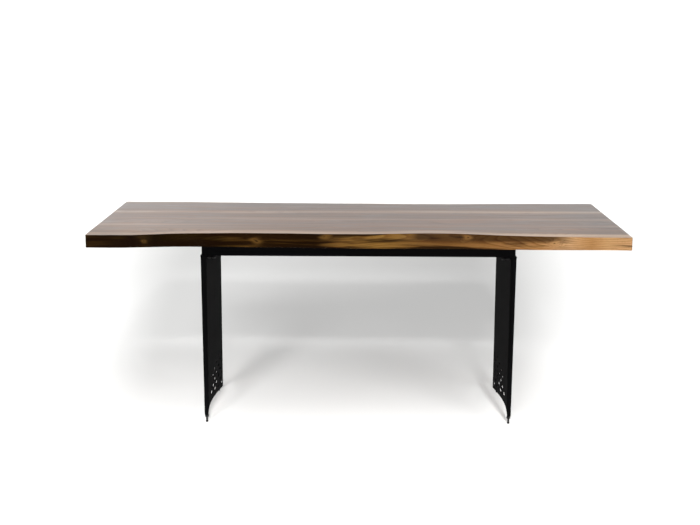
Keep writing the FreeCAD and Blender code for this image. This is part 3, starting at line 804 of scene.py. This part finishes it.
# Bolts that clamp the head plates to the rails, and screws from the flats into the wood:
# hexagon heads with a forged chamfer, black oxide, on flat washers punched from strip.
rail_middle = (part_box("rail_rear")[0][1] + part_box("rail_rear")[1][1]) / 2
bolt_columns = (0.541, 0.558)
screw_columns = (-0.530, 0.0, 0.530)
screw_rows = (-0.320, 0.0, 0.320)
bolt_places = [(side * x, half * rail_middle)
               for side in (-1, 1) for x in bolt_columns for half in (-1, 1)]
screw_places = [(x, y) for x in screw_columns for y in screw_rows]
leg_bolt = {"flats": nut_flats, "radius": 0.004}
top_screw = {"flats": 0.010, "radius": 0.003}
bolt_washer = {"radius": 0.008, "hole": 0.0042}
screw_washer = {"radius": 0.009, "hole": 0.0031}
shank_end_round = 0.0007
washer_rim_round = 0.0002


def hexagon_bolt(x, y, head_bottom, head_top, shank_top, flats, radius):
    bolt = hexagon_piece(x, y, head_bottom, head_top, flats, None, True, False)
    shank = upright_cylinder(x, y, head_top - 0.001, shank_top, radius * 0.98, 24)
    round_edges(shank, lambda a, b: at(a.z, shank_top) and at(b.z, shank_top),
                shank_end_round, 2)
    cut_with(bolt, shank, "UNION")
    return bolt


def flat_washer(x, y, bottom, top, radius, hole):
    washer = upright_cylinder(x, y, bottom, top, radius, 40)
    drill(washer, x, y, bottom, top, hole, 40)

    def round_rim(a, b):
        from_middle = [math.hypot(corner.x - x, corner.y - y) for corner in (a, b)]
        return at(a.z, b.z) and abs(from_middle[0] - from_middle[1]) < 0.00005

    round_edges(washer, round_rim, washer_rim_round, 2)
    return washer


def fasten(name, pieces, material, cad_node):
    whole = finish_piece(join_pieces(pieces[0], pieces[1:]), name, material)
    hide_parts(cad_node)
    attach(whole, "table")


for kind, places, bolt, washer in (("leg_bolt", bolt_places, leg_bolt, bolt_washer),
                                   ("top_screw", screw_places, top_screw, screw_washer)):
    low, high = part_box(kind + "s")
    washer_low, washer_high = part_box(kind + "_washers")
    bolts = [hexagon_bolt(x, y, low[2], washer_low[2], high[2], **bolt) for x, y in places]
    fasten("hexagon_" + kind + "s", bolts, black_oxide, kind + "s")
    washers = [flat_washer(x, y, washer_low[2], washer_high[2], **washer)
               for x, y in places]
    fasten(kind + "_flat_washers", washers, black_oxide, kind + "_washers")


# Nuts inside the rails, plated with zinc, and brass inserts turned into the wood, with a
# coarse thread outside. Both metals are bright, and neither is seen from outside.
insert_radius = 0.006
insert_bore = 0.0031
insert_turns = 5.5
insert_thread_share = 0.13
insert_cuts = 21


def plated_metal(name, code, tarnish, roughness, grain_scale):
    material, tree = new_material(name)
    place = add_node(tree, "ShaderNodeTexCoord").outputs["Object"]
    stain = add_node(tree, "ShaderNodeTexNoise", {
        "Vector": place, "Scale": grain_scale, "Detail": 3.0})
    colour = add_node(tree, "ShaderNodeMix", {
        0: stain, 6: linear(code), 7: linear(tarnish)}, data_type="RGBA")
    gloss = add_node(tree, "ShaderNodeMapRange", {
        "Value": stain, "To Min": roughness - 0.08, "To Max": roughness + 0.10})
    bump = add_node(tree, "ShaderNodeBump", {
        "Strength": 0.2, "Distance": 0.0001, "Height": stain})
    shader = add_node(tree, "ShaderNodeBsdfPrincipled", {
        "Base Color": colour, "Metallic": 1.0, "Roughness": gloss, "Normal": bump})
    add_node(tree, "ShaderNodeOutputMaterial", {"Surface": shader})
    return material


def threaded_insert(x, y, bottom, top):
    insert = upright_cylinder(x, y, bottom, top, insert_radius, 32)
    divide_edges(insert, lambda a, b: abs(a.z - b.z) > 0.001, insert_cuts)
    ridge_pitch = (top - bottom) / insert_turns
    for corner in insert.data.vertices:
        turn = math.atan2(corner.co.y - y, corner.co.x - x) / (2 * math.pi)
        phase = (corner.co.z - bottom) / ridge_pitch - turn
        groove = 0.5 - 0.5 * math.cos(2 * math.pi * phase)
        narrow = 1.0 - insert_thread_share * groove
        corner.co.x = x + (corner.co.x - x) * narrow
        corner.co.y = y + (corner.co.y - y) * narrow
    drill(insert, x, y, bottom, top, insert_bore, 32)
    return insert


zinc_plate = plated_metal("zinc_plate", "#a4a6a8", "#8a8884", 0.34, 400.0)
nut_low, nut_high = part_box("rail_nuts")
fasten("zinc_plated_rail_nuts", [
    hexagon_piece(x, y, nut_low[2], nut_high[2], nut_flats, nut_bore, True, True)
    for x, y in bolt_places], zinc_plate, "rail_nuts")
brass = plated_metal("turned_brass", "#c8a25a", "#a07c3c", 0.30, 300.0)
insert_low, insert_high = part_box("top_inserts")
fasten("brass_inserts", [
    threaded_insert(x, y, insert_low[2], insert_high[2])
    for x, y in screw_places], brass, "top_inserts")


# Caps pressed into the rail ends: moulded black nylon, a thin cover with a rounded rim
# and a plug inside the tube. The CAD shape is right, and only gets its material.
caps = nodes["rail_end_caps"].data
caps.materials.clear()
caps.materials.append(black_nylon)


# Studio: a floor of matt white paper that runs out of sight, a room that is bright behind
# the table and dim before it, two far lamps before the table and a soft one near its
# right end. A flag in the beam widens the top's shadow on the floor and shades the legs.
floor_paper, tree = new_material("white_paper")
paper = add_node(tree, "ShaderNodeBsdfPrincipled", {
    "Base Color": linear("#e7e7e6"), "Roughness": 0.9, "Specular IOR Level": 0.0})
add_node(tree, "ShaderNodeOutputMaterial", {"Surface": paper})
bpy.ops.mesh.primitive_plane_add(size=500, location=(0, 0, 0))
floor = bpy.context.object
floor.name = "floor"
floor.data.materials.append(floor_paper)

lamp_rise = math.tan(math.radians(23.0))
front_turn = -0.07


def studio_lamp(name, kind, place, aim, power):
    bpy.ops.object.light_add(type=kind, location=place)
    lamp = bpy.context.object
    lamp.name = name
    lamp.data.energy = power
    lamp.rotation_euler = Vector(aim).to_track_quat("-Z", "Y").to_euler()
    lamp.visible_glossy = False
    return lamp.data


front_lamp = studio_lamp("front_lamp", "SUN", (0.0, -6.0, 3.0),
                         (front_turn, 1.0, -lamp_rise), 6.6)
front_lamp.angle = math.radians(8.0)
left_lamp = studio_lamp("left_lamp", "SUN", (-1.0, -6.0, 3.0),
                        (0.20, 1.0, -lamp_rise), 2.4)
left_lamp.angle = math.radians(15.0)
right_lamp = studio_lamp("right_lamp", "AREA", (1.9, -2.0, 1.05),
                         (-1.1, 1.6, -0.3), 25.0)
right_lamp.size = 0.8

# Rows of the flag from low to high: where its edge falls on the floor behind the table,
# and half its width there. Its middle is a window for the beam on the top.
flag_y = -2.4
flag_rows = ((0.15, 0.88), (1.45, 1.10), (2.00, 1.18), (4.80, 1.55))
flag_columns = (-1.0, -0.80, 0.80, 1.0)
shadow_middle = -0.17
bpy.ops.mesh.primitive_grid_add(
    x_subdivisions=3, y_subdivisions=3, size=1, location=(0, flag_y, 0),
    rotation=(math.pi / 2, 0, 0))
flag = bpy.context.object
flag.name = "flag"
bpy.ops.object.transform_apply(location=True, rotation=True, scale=True)
bpy.ops.object.mode_set(mode="EDIT")
bpy.ops.mesh.select_mode(type="FACE")
bpy.ops.mesh.select_all(action="DESELECT")
leave_edit_mode()
for face in flag.data.polygons:
    face.select = abs(face.center.x) < 0.1 and abs(face.center.z) < 0.1
bpy.ops.object.mode_set(mode="EDIT")
bpy.ops.mesh.delete(type="FACE")
bpy.ops.mesh.select_mode(type="EDGE")
leave_edit_mode()
for corner in flag.data.vertices:
    column = flag_columns[round((corner.co.x + 0.5) * 3)]
    shadow_y, half_width = flag_rows[round((corner.co.z + 0.5) * 3)]
    beam = shadow_y - flag_y
    corner.co.x = column * half_width + shadow_middle - front_turn * beam
    corner.co.z = beam * lamp_rise
flag.visible_camera = flag.visible_diffuse = flag.visible_glossy = False

room_level = 1.45
world = bpy.data.worlds.new("studio")
world.use_nodes = True
tree = world.node_tree
tree.nodes.clear()
heading = add_node(tree, "ShaderNodeTexCoord").outputs["Generated"]
heading = add_node(tree, "ShaderNodeSeparateXYZ", {0: heading})
brightness = add_node(tree, "ShaderNodeMapRange", {
    "Value": heading.outputs["Y"], "From Min": -0.45, "From Max": 0.45,
    "To Min": 0.2, "To Max": 1.1}, interpolation_type="SMOOTHSTEP")
across = add_node(tree, "ShaderNodeMapRange", {
    "Value": heading.outputs["X"], "From Min": -0.60, "From Max": 0.60})
windows = add_node(tree, "ShaderNodeValToRGB", {"Fac": across}, stops=(
    (0.16, "#c2c2c2"), (0.28, "#ffffff"), (0.36, "#ffffff"), (0.44, "#e0e0e0"),
    (0.50, "#dadada"), (0.68, "#ececec"), (0.80, "#c2c2c2")))
brightness = add_node(tree, "ShaderNodeMath", {
    0: brightness, 1: windows}, operation="MULTIPLY")
brightness = add_node(tree, "ShaderNodeMath", {
    0: brightness, 1: room_level}, operation="MULTIPLY")
room = add_node(tree, "ShaderNodeBackground", {
    "Color": linear("#ffffff"), "Strength": brightness})
add_node(tree, "ShaderNodeOutputWorld", {"Surface": room})
bpy.context.scene.world = world
bpy.context.scene.view_settings.view_transform = "Standard"


# Camera: fitted to the photographed corners of the top and to the feet.
camera_place = (-0.002, -4.835, 1.526)
camera_pitch = math.radians(11.015)
camera_yaw = math.radians(-0.366)
camera_roll = math.radians(0.25)
bpy.ops.object.camera_add()
camera = bpy.context.object
camera.data.sensor_width = 36.0
camera.data.lens = 64.89
camera.matrix_world = (
    Matrix.Translation(camera_place)
    @ Matrix.Rotation(-camera_yaw, 4, "Z")
    @ Matrix.Rotation(math.pi / 2 - camera_pitch, 4, "X")
    @ Matrix.Rotation(camera_roll, 4, "Z")
)
bpy.context.scene.camera = camera
